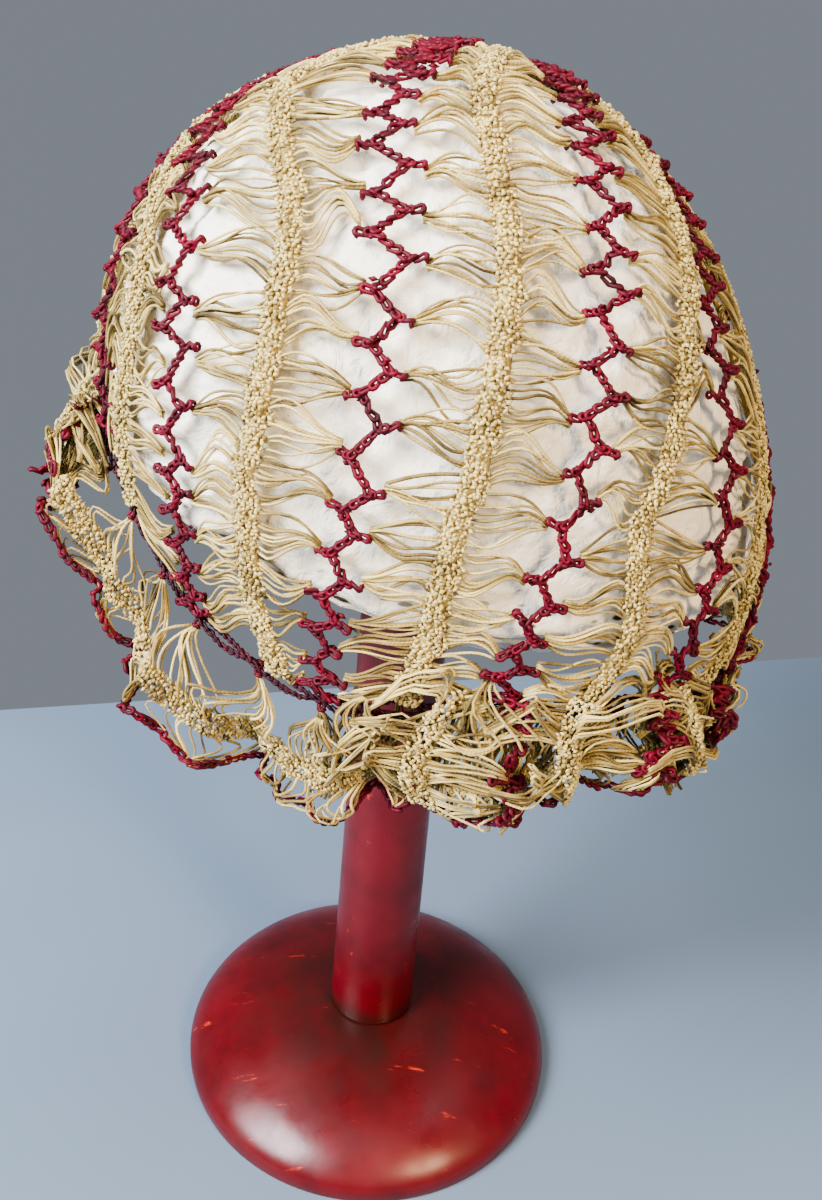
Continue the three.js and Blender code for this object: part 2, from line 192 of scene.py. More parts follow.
def set_ramp(colour_output, stops):
    """Gives the colour ramp of an output its stops, as places and hex colours."""
    ramp = colour_output.node.color_ramp
    while len(ramp.elements) < len(stops):
        ramp.elements.new(0.5)
    for element, (place, colour) in zip(ramp.elements, stops):
        element.position = place
        element.color = linear(colour)
    return colour_output


def make_cotton(name, stops, roughness, sheen, patch_size):
    """Plied crochet cotton: each thread's own tone, patches of handling, and the ribs of its twist.

    The real twist is too fine to show, so it is drawn coarser.
    """
    material, shader, coords, add = new_material(name)
    tone = add("Attribute", {"attribute_name": "tone"})
    patch_look = {"Scale": 1 / (patch_size * MM), "Detail": 3.0, "Roughness": 0.6}
    patches = add("TexNoise", patch_look, {"Vector": coords["Object"]})
    tone_share = {"operation": "MULTIPLY_ADD", 1: 0.62}
    blend = add("Math", tone_share, {0: tone["Fac"], 2: patches["Fac"]})
    shift = add("Math", {"operation": "SUBTRACT", 1: 0.31}, {0: blend[0]})
    ramp = add("ValToRGB", links={"Fac": shift[0]})["Color"]
    twist = {"bands_direction": "DIAGONAL", "Scale": 0.2 * math.pi, "Distortion": 0.6}
    ply = add("TexWave", twist, {"Vector": coords["UV"]})
    bump = add("Bump", {"Strength": 0.5, "Distance": 0.12 * MM}, {"Height": ply["Fac"]})
    look = {"Roughness": roughness, "Specular IOR Level": 0.35, "Sheen Weight": sheen, "Sheen Roughness": 0.4}
    set_node(material, shader, look, {"Base Color": set_ramp(ramp, stops), "Normal": bump["Normal"]})
    return material


def make_tissue():
    """Embossed tissue paper: white and matte, with pressed dashes, creases, and painted shade of slits low
    down.
    """
    material, shader, coords, add = new_material("embossed_tissue_paper")
    place = coords["Object"]
    stains = add("TexNoise", {"Scale": 1 / (38 * MM), "Detail": 3.0}, {"Vector": place})
    ramp = add("ValToRGB", links={"Fac": stains["Fac"]})["Color"]
    colour = set_ramp(ramp, [(0.3, "#efead9"), (0.55, "#faf6e8"), (0.75, "#fdfbf1")])
    height = add("SeparateXYZ", links={"Vector": place})["Z"]
    # Painted shade: dark marks near the lower edge stand for the shade seen through slits where the pleats
    # open.
    near_edge = add("MapRange", {"From Min": 262 * MM, "From Max": 250 * MM}, {"Value": height})
    flattened = add("Mapping", {"Scale": (1, 1, 2.6)}, {"Vector": place})
    slit_look = {"Scale": 1 / (8 * MM), "Randomness": 0.7}
    slits = add("TexVoronoi", slit_look, {"Vector": flattened["Vector"]})
    inside = add("MapRange", {"From Min": 0.26, "From Max": 0.18}, {"Value": slits["Distance"]})
    masks = {0: near_edge["Result"], 1: inside["Result"]}
    painted_slit_shade = add("Math", {"operation": "MULTIPLY"}, masks)
    paper_with_painted_slit_shade = add("MixRGB", {"Color2": linear("#45413c")}, {"Fac": painted_slit_shade[0], "Color1": colour})
    slanted = add("Mapping", {"Rotation": (0.0, 0.7, 0.0), "Scale": (1, 1, 0.45)}, {"Vector": place})
    dash_look = {"Scale": 1 / (2.8 * MM), "Randomness": 0.4}
    dashes = add("TexVoronoi", dash_look, {"Vector": slanted["Vector"]})
    pressed = {"Strength": 0.8, "Distance": 0.5 * MM, "invert": True}
    dash_bump = add("Bump", pressed, {"Height": dashes["Distance"]})
    crinkle_look = {"Scale": 1 / (7 * MM), "Detail": 5.0, "Roughness": 0.6, "Distortion": 0.8}
    crinkle = add("TexNoise", crinkle_look, {"Vector": place})
    relief = {"Height": crinkle["Fac"], "Normal": dash_bump["Normal"]}
    bump = add("Bump", {"Strength": 0.8, "Distance": 2.0 * MM}, relief)
    links = {"Base Color": paper_with_painted_slit_shade["Color"], "Normal": bump["Normal"]}
    set_node(material, shader, {"Roughness": 0.78, "Specular IOR Level": 0.3}, links)
    return material


def make_red_paint():
    """Worn semi-gloss paint on turned beech: deep red, darker low on the foot, orange where scratched."""
    material, shader, coords, add = new_material("worn_red_gloss_paint")
    place = coords["Object"]
    patch_look = {"Scale": 1 / (22 * MM), "Detail": 5.0, "Roughness": 0.6}
    patches = add("TexNoise", patch_look, {"Vector": place})
    ramp = add("ValToRGB", links={"Fac": patches["Fac"]})["Color"]
    paint = set_ramp(ramp, [(0.3, "#4b0c10"), (0.52, "#5f1016"), (0.75, "#6c151c")])
    # Darker brown patches on the base, strongest round the column's foot.
    foot_patch_look = {"Scale": 1 / (16 * MM), "Detail": 3.0, "Roughness": 0.5}
    foot_patch_mask = add("TexNoise", foot_patch_look, {"Vector": place})["Fac"]
    height = add("SeparateXYZ", links={"Vector": place})["Z"]
    level = add("VectorMath", {"operation": "MULTIPLY", 1: (1, 1, 0)}, {0: place})
    radius = add("VectorMath", {"operation": "LENGTH"}, {0: level[0]})["Value"]
    foot_range = {"From Min": 62 * MM, "From Max": 18 * MM, "To Min": 0.0, "To Max": 1.6}
    near_foot = add("MapRange", foot_range, {"Value": radius})
    low = add("MapRange", {"From Min": 34 * MM, "From Max": 27 * MM}, {"Value": height})
    foot_patches = add("Math", {"operation": "MULTIPLY"}, {0: near_foot["Result"], 1: foot_patch_mask})
    masks = {0: foot_patches[0], 1: low["Result"]}
    foot_patches_on_base = add("Math", {"operation": "MULTIPLY", "use_clamp": True}, masks)
    darkened_paint = add("MixRGB", {"Color2": linear("#30150f")}, {"Fac": foot_patches_on_base[0], "Color1": paint})
    stretched = add("Mapping", {"Rotation": (0.3, 0.2, 0.9), "Scale": (1, 7, 3)}, {"Vector": place})
    scratch_look = {"Scale": 1 / (34 * MM), "Detail": 7.0, "Roughness": 0.72}
    scratches = add("TexNoise", scratch_look, {"Vector": stretched["Vector"]})
    scratch_range = {"From Min": 0.63, "From Max": 0.69, "To Max": 0.8}
    scratch_mask = add("MapRange", scratch_range, {"Value": scratches["Fac"]})
    layers = {"Fac": scratch_mask["Result"], "Color1": darkened_paint["Color"]}
    worn = add("MixRGB", {"Color2": linear("#c4402c")}, layers)
    gloss_range = {"From Min": 0.3, "From Max": 0.75, "To Min": 0.24, "To Max": 0.42}
    gloss = add("MapRange", gloss_range, {"Value": foot_patch_mask})
    fine = add("TexNoise", {"Scale": 1 / (2.2 * MM), "Detail": 4.0}, {"Vector": place})
    bump = add("Bump", {"Strength": 0.12, "Distance": 0.15 * MM}, {"Height": fine["Fac"]})
    links = {"Base Color": worn["Color"], "Roughness": gloss["Result"]}
    set_node(material, shader, links={**links, "Normal": bump["Normal"]})
    return material


def make_floor_paper():
    """Smooth matte paper of the floor, faintly mottled."""
    material, shader, coords, add = new_material("pale_floor_paper")
    mottle = add("TexNoise", {"Scale": 1 / (240 * MM), "Detail": 2.0}, {"Vector": coords["Object"]})
    ramp = add("ValToRGB", links={"Fac": mottle["Fac"]})["Color"]
    colour = set_ramp(ramp, [(0.3, "#6a7a8c"), (0.7, "#728394")])
    set_node(material, shader, {"Roughness": 0.6}, {"Base Color": colour})
    return material


def unit(vectors):
    return vectors / np.maximum(np.linalg.norm(vectors, axis=-1, keepdims=True), 1e-9)


def smooth(x):
    return x * x * (3 - 2 * x)


# The crown's own axes, tilted back and to the side
CROWN_FRONT = np.array([0, -math.cos(CROWN_BACK * DEGREE), math.sin(CROWN_BACK * DEGREE)])
CROWN_AXIS = np.array([
    math.sin(CROWN_SIDE * DEGREE),
    math.cos(CROWN_SIDE * DEGREE) * math.sin(CROWN_BACK * DEGREE),
    math.cos(CROWN_SIDE * DEGREE) * math.cos(CROWN_BACK * DEGREE),
])
CROWN_RIGHT = unit(np.cross(CROWN_AXIS, CROWN_FRONT))


def turn_about_y(vectors, degrees):
    x, y, z = vectors[..., 0], vectors[..., 1], vectors[..., 2]
    c, s = math.cos(degrees * DEGREE), math.sin(degrees * DEGREE)
    return np.stack([x * c + z * s, y, z * c - x * s], axis=-1)


def cap_surface(direction, lift):
    """Points of the cap in directions of its own upright frame, lifted along them."""
    height = np.where(direction[..., 2] > 0, CAP_RISE, CAP_FALL)
    total = (
        np.abs(direction[..., 0] / CAP_HALF_WIDTH) ** CAP_FULLNESS
        + np.abs(direction[..., 1] / CAP_HALF_DEPTH) ** CAP_FULLNESS
        + np.abs(direction[..., 2] / height) ** CAP_FULLNESS
    )
    reach = total ** (-1 / CAP_FULLNESS) + lift
    return turn_about_y(direction * reach[..., None], -CAP_LEAN) + CAP_CENTRE


def crown_point(fall, turn, lift=0.0):
    fall, turn, lift = np.broadcast_arrays(fall * DEGREE, turn * DEGREE, lift)
    direction = (
        np.cos(fall)[..., None] * CROWN_AXIS
        + (np.sin(fall) * np.cos(turn))[..., None] * CROWN_FRONT
        + (np.sin(fall) * np.sin(turn))[..., None] * CROWN_RIGHT
    )
    return cap_surface(direction, lift)


def seam_place(seam, share):
    row = SEAM_TABLE[seam % STRIPS]
    lean = np.interp(share, LEAN_SHARES, row[LEANS])
    fall = CROWN_FALL + (row[RIM] - CROWN_FALL) * share
    return fall, FIRST_SEAM_TURN + seam * 360 / STRIPS + lean


def strip_place(strip, share, across):
    """Fall and turn of a point of a strip, by shares from crown to rim and from left seam to right."""
    left_fall, left_turn = seam_place(strip, share)
    right_fall, right_turn = seam_place(strip + 1, share)
    return left_fall + (right_fall - left_fall) * across, left_turn + (right_turn - left_turn) * across


def strip_point(strip, share, across, lift=0.0):
    share, across, lift = np.broadcast_arrays(share, across, lift)
    return crown_point(*strip_place(strip, share, across), lift)


def strip_frame(strip, share, across):
    """Directions down the strip, across it and out of it."""
    step = 0.004
    down = strip_point(strip, share + step, across) - strip_point(strip, share - step, across)
    outward = unit(strip_point(strip, share, across) - CAP_CENTRE)
    down = unit(down - np.sum(down * outward, axis=-1, keepdims=True) * outward)
    return down, np.cross(outward, down), outward


def line_length(points):
    return float(np.linalg.norm(np.diff(points, axis=0), axis=1).sum())


def run_lengths(points):
    """How far along a line each of its points lies."""
    return np.concatenate([[0], np.cumsum(np.linalg.norm(np.diff(points, axis=0), axis=1))])


def interpolate(where, known, rows):
    """Rows of coordinates between the places where they are known."""
    return np.stack([np.interp(where, known, column) for column in rows.T], axis=-1)


def seam_length(seam):
    return line_length(strip_point(seam, np.linspace(0, 1, SEAM_STEPS), 0.0))


def strip_width(strip, share):
    return np.linalg.norm(strip_point(strip, share, 1.0) - strip_point(strip, share, 0.0), axis=-1)


def spine_across(strip, share):
    return np.interp(share, SPINE_SHARES, SPINE_TABLE.get(strip, [0.5] * len(SPINE_SHARES)))


def spine_width(strip, share):
    return np.minimum(SPINE_WIDTH, 0.42 * strip_width(strip, share))


def spine_length(strip, steps):
    shares = np.linspace(0, 1, steps)
    return line_length(strip_point(strip, shares, spine_across(strip, shares)))


# Meshes from many small things
def tubes(paths, radius, facing, tone, sides=THREAD_SIDES):
    """Tubes along many paths, as one batch. Facing points out of the cloth at each point of a path."""
    count, steps = paths.shape[:2]
    along = unit(np.gradient(paths, axis=1))
    sideways = unit(np.cross(facing, along))
    outwards = np.cross(along, sideways)
    angles = np.arange(sides) * 2 * math.pi / sides
    radius = np.broadcast_to(radius, (count, steps))[:, :, None, None]
    ring = np.cos(angles)[:, None] * sideways[:, :, None] + np.sin(angles)[:, None] * outwards[:, :, None]
    points = (paths[:, :, None] + ring * radius).reshape(-1, 3)
    c, i, j = np.meshgrid(np.arange(count), np.arange(steps - 1), np.arange(sides), indexing="ij")

    def corner(step, side):
        return (c * steps + step) * sides + side % sides

    quads = np.stack([corner(i, j), corner(i, j + 1), corner(i + 1, j + 1), corner(i + 1, j)], axis=-1)
    strides = np.linalg.norm(np.diff(paths, axis=1), axis=2)
    lengths = np.concatenate([np.zeros((count, 1)), np.cumsum(strides, axis=1)], axis=1)
    near, far = lengths[c, i], lengths[c, i + 1]
    u = np.stack([near, near, far, far], axis=-1)
    v = np.stack([j, j + 1, j + 1, j], axis=-1) / sides
    start = np.arange(count)[:, None] * steps * sides + np.arange(sides)[None, ::-1]
    end = (np.arange(count)[:, None] * steps + steps - 1) * sides + np.arange(sides)[None]
    end_uv = np.zeros((count, sides, 2))
    faces = [quads.reshape(-1, 4), start, end]
    uvs = [np.stack([u, v], axis=-1).reshape(-1, 4, 2), end_uv, end_uv]
    tones = np.repeat(np.broadcast_to(tone, (count,)), steps * sides)
    return {"points": points, "faces": faces, "uvs": uvs, "tone": tones}


def copies(model, places, frames, tone):
    """Copies of a small modelled thing. A frame's rows are where the model's own X, Y and Z point."""
    points = np.einsum("vi,nij->nvj", model["points"], frames) + places[:, None]
    count, size = len(places), len(model["points"])
    offsets = np.arange(count)[:, None, None] * size
    faces = (model["faces"][None] + offsets).reshape(-1, model["faces"].shape[1])
    uvs = np.zeros((*faces.shape, 2))
    tones = np.repeat(np.broadcast_to(tone, (count,)), size)
    return {"points": points.reshape(-1, 3), "faces": [faces], "uvs": [uvs], "tone": tones}


def new_object(name, data):
    obj = bpy.data.objects.new(name, data)
    bpy.context.scene.collection.objects.link(obj)
    return obj


def make_piece(name, batches, material, nodes):
    """Joins batches into one piece that stands for its solids."""
    points, faces, uvs, tones, start = [], [], [], [], 0
    for batch in batches:
        points.append(batch["points"])
        tones.append(batch["tone"])
        for corners, uv in zip(batch["faces"], batch["uvs"]):
            faces.extend((corners + start).tolist())
            uvs.append(uv.reshape(-1, 2))
        start += len(batch["points"])
    mesh = bpy.data.meshes.new(name)
    mesh.from_pydata((np.concatenate(points) * MM).tolist(), [], faces)
    mesh.uv_layers.new(name="along").data.foreach_set("uv", np.concatenate(uvs).ravel())
    mesh.attributes.new("tone", "FLOAT", "POINT").data.foreach_set("value", np.concatenate(tones))
    mesh.polygons.foreach_set("use_smooth", [True] * len(mesh.polygons))
    return finish_piece(new_object(name, mesh), material, nodes)


def finish_piece(piece, material, nodes):
    piece.data.materials.clear()
    piece.data.materials.append(material)
    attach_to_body(piece, "root")
    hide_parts(*nodes)
    return piece


def take_model():
    """Reads the selected small object as a model in millimetres, and removes it."""
    obj = bpy.context.object
    points = np.array([v.co for v in obj.data.vertices]) / MM
    faces = np.array([list(p.vertices) for p in obj.data.polygons])
    bpy.data.objects.remove(obj)
    return {"points": points, "faces": faces}


def select_points(mesh, chosen):
    """Selects the points of a mesh that pass a test."""
    bpy.ops.object.mode_set(mode="EDIT")
    bpy.ops.mesh.select_mode(type="VERT")
    bpy.ops.mesh.select_all(action="DESELECT")
    bpy.ops.object.mode_set(mode="OBJECT")
    for vertex in mesh.vertices:
        vertex.select = chosen(vertex.co)
    bpy.ops.object.mode_set(mode="EDIT")


def model_grain():
    """One knot of the spine: a small eight-sided grain, longer than it is wide, that shading rounds."""
    bpy.ops.mesh.primitive_cone_add(
        vertices=4, radius1=MM, radius2=0, depth=MM, end_fill_type="TRIFAN", location=(0, 0, 0.5 * MM)
    )
    bpy.ops.object.transform_apply()
    select_points(bpy.context.object.data, lambda place: place.z < MM / 2 and place.length < MM / 2)
    bpy.ops.transform.translate(value=(0, 0, -MM))
    bpy.ops.mesh.select_all(action="SELECT")
    bpy.ops.transform.resize(value=(0.92, 0.52, 0.5), center_override=(0, 0, 0))
    bpy.ops.object.mode_set(mode="OBJECT")
    return take_model()


def model_link():
    """One crochet chain stitch: a ring drawn out into a link, with its head raised over the next one."""
    bpy.ops.mesh.primitive_torus_add(
        major_radius=0.7 * MM, minor_radius=0.56 * MM, major_segments=8, minor_segments=4
    )
    link = bpy.context.object
    for sign in (-1, 1):
        select_points(link.data, lambda place: place.x * sign > 0)
        bpy.ops.transform.translate(value=(sign * 0.75 * MM, 0, sign * 0.4 * MM))
        bpy.ops.object.mode_set(mode="OBJECT")
    return take_model()


def model_wrap():
    """The stitch that holds a bundle of loops: a small thick ring round it."""
    upright = (0, math.pi / 2, 0)
    bpy.ops.mesh.primitive_torus_add(
        major_radius=0.8 * MM, minor_radius=0.5 * MM, major_segments=8, minor_segments=4, rotation=upright
    )
    bpy.ops.object.transform_apply()
    return take_model()


GRAIN = model_grain()
LINK = model_link()
WRAP = model_wrap()


def turned_frames(along, outward, turn=0.0, roll=0.0):
    """Frames along a route, turned in the cloth and rolled about their own length, in radians."""
    side = unit(np.cross(outward, along))
    outward = np.cross(along, side)
    turn, roll = np.broadcast_arrays(turn, roll)
    c, s = np.cos(turn)[..., None], np.sin(turn)[..., None]
    x = along * c + side * s
    y = side * c - along * s
    c, s = np.cos(roll)[..., None], np.sin(roll)[..., None]
    return np.stack([x, y * c + outward * s, outward * c - y * s], axis=-2)


def chain(route, outward, random, scale=1.0):
    """Chain stitches along a route, each tilted a little its own way."""
    pitch = LINK_PITCH * scale
    lengths = run_lengths(route)
    count = max(1, round(lengths[-1] / pitch))
    stretch = lengths[-1] / count / pitch
    at = (np.arange(count) + 0.5) * lengths[-1] / count
    reach = pitch * 0.5
    ahead = interpolate(np.minimum(at + reach, lengths[-1]), lengths, route)
    along = unit(ahead - interpolate(np.maximum(at - reach, 0), lengths, route))
    turn = random.normal(0, 0.16, count)
    roll = random.normal(0, 0.5, count)
    size = np.ones((count, 3, 1))
    size[:, 0, 0] = np.clip(stretch, 0.7, 1.3)
    frames = turned_frames(along, unit(interpolate(at, lengths, outward)), turn, roll) * size * scale
    return copies(LINK, interpolate(at, lengths, route), frames, 0.5 + random.normal(0, 0.12, count))


# Spines and loops of the lace
def make_grains(places, down, outward, random, tone):
    """Knots at many places, their length slanting to and fro."""
    count = len(places)
    slant = np.where(np.arange(count) % 2, 1, -1) * random.uniform(0.5, 1.15, count)
    size = random.uniform(0.85, 1.2, count)[:, None, None]
    frames = turned_frames(down, outward, slant, random.normal(0, 0.4, count)) * size
    return copies(GRAIN, places, frames, tone)


def spine_batches(strip, random):
    """A spine: a flat core under rows of knots."""
    length = spine_length(strip, SEAM_STEPS)
    rows = round(length / GRAIN_ROW)
    share = np.repeat((np.arange(rows) + 0.5) / rows, GRAIN_COLUMNS)
    column = np.tile(np.arange(GRAIN_COLUMNS), rows) - (GRAIN_COLUMNS - 1) / 2
    share = share + np.where(column % 2 == 0.5, 0.25, -0.25) / rows
    share = share + random.normal(0, 0.16, share.shape) / rows
    share = np.clip(share, 0.002, 0.998)
    width = spine_width(strip, share)
    sway = 0.55 * np.sin(share * length / 3.1 + strip) + 0.45 * np.sin(share * length / 1.7)
    swell = 1 + 0.16 * sway + 0.14 * np.sin(share * length / 0.9 + 2 * strip)
    offset = column / GRAIN_COLUMNS * width * swell + random.normal(0, 0.26, share.shape) + sway * 0.5
    crown = 1 - (2 * column / GRAIN_COLUMNS) ** 2
    lift = 0.45 + 0.95 * crown + random.normal(0, 0.28, share.shape)
    middle = spine_across(strip, share)
    down, side, outward = strip_frame(strip, share, middle)
    places = strip_point(strip, share, middle, lift) + side * offset[:, None]
    tone = 0.72 + random.normal(0, 0.25, share.shape)
    core_share = np.linspace(0.004, 0.996, CORE_STEPS)
    core_middle = spine_across(strip, core_share)
    _, core_side, core_out = strip_frame(strip, core_share, core_middle)
    half = spine_width(strip, core_share) * 0.42
    core_line = strip_point(strip, core_share, core_middle, 0.2)
    # The core gets a low tone so that it shows dark between the knots: painted shade.
    core = tubes(core_line[None], 1.0, core_out[None], 0.25, CORE_SIDES)
    centres = core_line[:, None]
    rim = core["points"].reshape(CORE_STEPS, CORE_SIDES, 3) - centres
    across = np.sum(rim * core_side[:, None], axis=-1, keepdims=True) * core_side[:, None]
    core["points"] = (centres + (rim - across) * 0.9 + across * half[:, None, None]).reshape(-1, 3)
    return [core, make_grains(places, down, outward, random, tone)]


def zigzag(seam):
    """Turns of a seam's zigzag: shares, swing out, reach of their stubs' tips, and the tips' drift down.

    Even turns lean right, odd ones left.
    """
    random = np.random.default_rng(500 + seam % STRIPS)
    count = round(seam_length(seam) / HALF_ZIGZAG)
    steps = np.interp((np.arange(count) + 0.5) / count, ZIGZAG_SHARES, ZIGZAG_SPACING)
    steps = steps * random.uniform(0.75, 1.25, count)
    shares = 0.008 + 0.98 * np.concatenate([[0], np.cumsum(steps)]) / steps.sum()
    width = np.minimum(strip_width(seam - 1, shares), strip_width(seam, shares))
    swing = np.minimum(3.1, 0.12 * width) * random.uniform(0.65, 1.3, count + 1)
    swing = swing * np.interp(shares, [0, 0.5, 0.75, 0.9, 1], [1, 1, 0.75, 0.55, 0.8])
    tip = swing + np.minimum(3.3, 0.12 * width) * random.uniform(0.8, 1.2, count + 1)
    return shares, swing, tip, random.normal(0, 0.9, count + 1)


def loop_batch(strip, side, random):
    """Hairpin loops on one side of a spine, drawn together in bundles where the seam's stubs hold them."""
    seam = strip if side < 0 else strip + 1
    catches, _, tip, drift = (values[(0 if side < 0 else 1) :: 2] for values in zigzag(seam))
    edges = np.concatenate([[0.004], (catches[1:] + catches[:-1]) / 2, [0.996]])
    length = seam_length(seam)
    width = strip_width(strip, catches)
    n = THREADS_IN_BUNDLE
    count = len(catches)
    slot = (np.arange(n) + 0.5) / n
    attach = edges[:-1, None] + (edges[1:] - edges[:-1])[:, None] * slot
    attach = attach + random.normal(0, 0.45, attach.shape) / length
    # Loops stay nearly square to the spine where the seams beside it differ in length
    rims = SEAM_TABLE[:, RIM]
    square = (rims[seam % STRIPS] / rims[[strip, (strip + 1) % STRIPS]].mean()) ** 0.7
    wander = np.interp(catches, [0, 0.2, 0.5, 0.8, 1], random.normal(0, 2.2, 5))
    attach = np.clip(attach * square + wander[:, None] / length, 0.002, 0.998)
    catch = catches[:, None] + (drift[:, None] + (np.arange(n) - (n - 1) / 2) * 0.22) / length
    middle = spine_across(strip, attach)
    reach = spine_width(strip, attach) * 0.4
    start = middle + side * reach / strip_width(strip, attach)
    tip_across = tip / width
    end = (tip_across if side < 0 else 1 - tip_across)[:, None] + side * 0.4 / width[:, None]
    x = np.linspace(0, 1, THREAD_STEPS)
    hump, sway = np.sin(math.pi * x), np.sin(2 * math.pi * x)
    late = random.uniform(0, 0.35, (count, 1)) + random.uniform(0, 0.12, (count, n))
    draw = np.clip((x - late[..., None]) / (1 - late[..., None]), 0, 1)
    draw = 0.55 * draw + 0.45 * smooth(draw)
    arch = random.normal(-1.3, 1.5, (count, 1)) + random.normal(0, 0.8, (count, n))
    wave = random.normal(0, 0.9, (count, 1)) + random.normal(0, 0.5, (count, n))
    share = attach[..., None] + (catch - attach)[..., None] * draw
    bend = arch[..., None] * hump + wave[..., None] * sway
    share = np.clip(share + bend / length, 0.0, 1.0)
    across = start[..., None] + (end - start)[..., None] * x
    rise = random.uniform(0, 1.1, (count, 1)) + random.normal(0, 0.35, (count, n))
    stack = np.where(np.arange(n) % 2, 0.42, -0.3) + random.normal(0, 0.12, (count, n))
    lift = 0.25 + rise[..., None] * hump + stack[..., None] * (0.35 + 0.65 * x)
    paths = strip_point(strip, share, across, np.maximum(lift, -1.1)).reshape(-1, THREAD_STEPS, 3)
    facing = unit(paths - CAP_CENTRE)
    tone = np.clip(random.normal(0.5, 0.12, (count, 1)) + random.normal(0, 0.3, (count, n)), 0, 1).ravel()
    radius = (THREAD_RADIUS * random.uniform(0.75, 1.2, count * n))[:, None]
    return tubes(paths, radius, facing, tone=tone)


def make_strip(strip, cotton):
    random = np.random.default_rng(100 + strip)
    batches = spine_batches(strip, random)
    batches += [loop_batch(strip, side, random) for side in (-1, 1)]
    name, node = f"hairpin_strip_{strip + 1}", f"lace_strip_{strip + 1}"
    piece = make_piece(name, batches, cotton, [node])
    length = spine_length(strip, STRIP_STEPS)
    width = float(strip_width(strip, np.linspace(0, 1, STRIP_STEPS)).mean())


# Crimson zigzag seams
def make_seam(seam, cotton):
    random = np.random.default_rng(300 + seam)
    shares, swing, tip, drift = zigzag(seam)
    lean = np.where(np.arange(len(shares)) % 2, -1, 1)
    down, side, outward = strip_frame(seam, shares, np.zeros(len(shares)))
    line = strip_point(seam, shares, 0.0, 0.9)
    turns = line + side * (swing * lean)[:, None]
    tips = line + side * (tip * lean)[:, None] + down * drift[:, None]
    batches = []
    for leg in range(len(shares) - 1):
        route = np.linspace(turns[leg], turns[leg + 1], 5)
        batches.append(chain(route, np.linspace(outward[leg], outward[leg + 1], 5), random))
    for turn, end, out in zip(turns, tips, outward):
        batches.append(chain(np.linspace(turn - (end - turn) * 0.2, end, 3), np.tile(out, (3, 1)), random))
    count = len(shares)
    stub = unit(tips - turns)
    turn = random.normal(0, 0.25, count)
    frames = turned_frames(stub, outward, turn, random.normal(0, 0.3, count))
    batches.append(copies(WRAP, tips - outward * 0.35, frames, 0.45 + random.normal(0, 0.12, count)))
    knots = np.repeat(turns, 3, axis=0) + random.normal(0, 0.75, (count * 3, 3))
    knot_frames = turned_frames(np.repeat(stub, 3, axis=0), np.repeat(outward, 3, axis=0))
    knot_frames = knot_frames * random.uniform(1.1, 1.5, (count * 3, 1, 1))
    batches.append(copies(GRAIN, knots, knot_frames, 0.45 + random.normal(0, 0.12, count * 3)))
    name = f"joining_seam_{seam + 1}"
    make_piece(f"crimson_zigzag_{seam + 1}", batches, cotton, [name])


def make_crown(cotton):
    """Threads of all the strips drawn to the middle of the crown, with two rings of knots."""
    random = np.random.default_rng(700)
    count = STRIPS * 9
    turn = np.arange(count) * 360 / count + random.normal(0, 0.6, count)
    x = np.linspace(0, 1, THREAD_STEPS)
    fall = CROWN_FALL * (1 - 0.86 * x)[None] + random.normal(0, 0.15, (count, 1))
    swirl = turn[:, None] + random.normal(9, 5, (count, 1)) * x
    lift = 0.2 + random.uniform(0.2, 1.2, count)[:, None] * np.sin(math.pi * x)
    paths = crown_point(fall, swirl, lift)
    tone = np.clip(random.normal(0.5, 0.2, count), 0, 1)
    batches = [tubes(paths, THREAD_RADIUS, unit(paths - CAP_CENTRE), tone)]
    for fall_at, around, rise in [(1.0, 9, 1.0), (2.0, 18, 1.1), (7.5, 72, 1.0), (8.2, 78, 0.9)]:
        turns = np.arange(around) * 360 / around
        places = crown_point(fall_at + random.normal(0, 0.1, around), turns, rise)
        outward = unit(places - CAP_CENTRE)
        along = unit(np.roll(places, -1, axis=0) - places)
        batches.append(make_grains(places, along, outward, random, 0.6 + random.normal(0, 0.15, around)))
    make_piece("gathered_crown", batches, cotton, ["crown_gather"])


# Rim: the drawn cord and the ruffle below it
def rim_line():
    """The closed line of the drawn cord with what hangs from it, as its solid has it."""
    cords, downs, flares, drops, marks = [], [], [], [], []
    for strip in range(STRIPS):
        inset = min(SEAM_BAND / 2 / float(strip_width(strip, 1.0)), NARROW_BAND_SHARE)
        now, following = SEAM_TABLE[strip], SEAM_TABLE[(strip + 1) % STRIPS]
        for across in RUFFLE_COLUMNS:
            turned = inset + (1 - 2 * inset) * across
            end = strip_point(strip, 1.0, turned)
            fall, turn = strip_place(strip, 1.0, turned)
            downward = unit(crown_point(fall + 1, turn) - end)
            cords.append(end + downward * (PIECE_GAP + CORD_THICKNESS / 2))
            downs.append(downward)
            flares.append(now[FLARE] + (following[FLARE] - now[FLARE]) * across)
            drops.append(RUFFLE_LENGTH * (now[DROP] + (following[DROP] - now[DROP]) * across))
            marks.append(strip + turned)
    return [np.array(values) for values in (cords, downs, flares, drops, marks)]


RIM_CORDS, RIM_DOWNS, RIM_FLARES, RIM_DROPS, RIM_MARKS = rim_line()


def fan_marks():
    """Marks along the rim of the stubs that the ruffle's fans hang from."""
    marks = []
    for strip in range(STRIPS):
        fans = max(1, round(float(strip_width(strip, 1.0)) / FAN_PITCH))
        marks += [strip + fan / fans for fan in range(fans)]
    return np.array(marks)


FAN_MARKS = fan_marks()
FAN_GAPS = np.diff(FAN_MARKS, append=FAN_MARKS[0] + STRIPS)
FAN_ENDS = FAN_MARKS + FAN_GAPS / 2


def ripple(mark):
    """How far the ruffle waves in and out at its hem, in millimetres."""
    turn = 2 * math.pi * mark / STRIPS
    return 2.6 * np.sin(31 * turn + 1) + 1.6 * np.sin(43 * turn) + 1.2 * np.sin(57 * turn + 2)


def rim_values(values, mark):
    """Values of the rim at marks, which count strips from the first seam and go round."""
    marks = np.concatenate([RIM_MARKS - STRIPS, RIM_MARKS, RIM_MARKS + STRIPS])
    if values.ndim == 1:
        return np.interp(mark, marks, np.tile(values, 3))
    return interpolate(mark, marks, np.tile(values, (3, 1)))


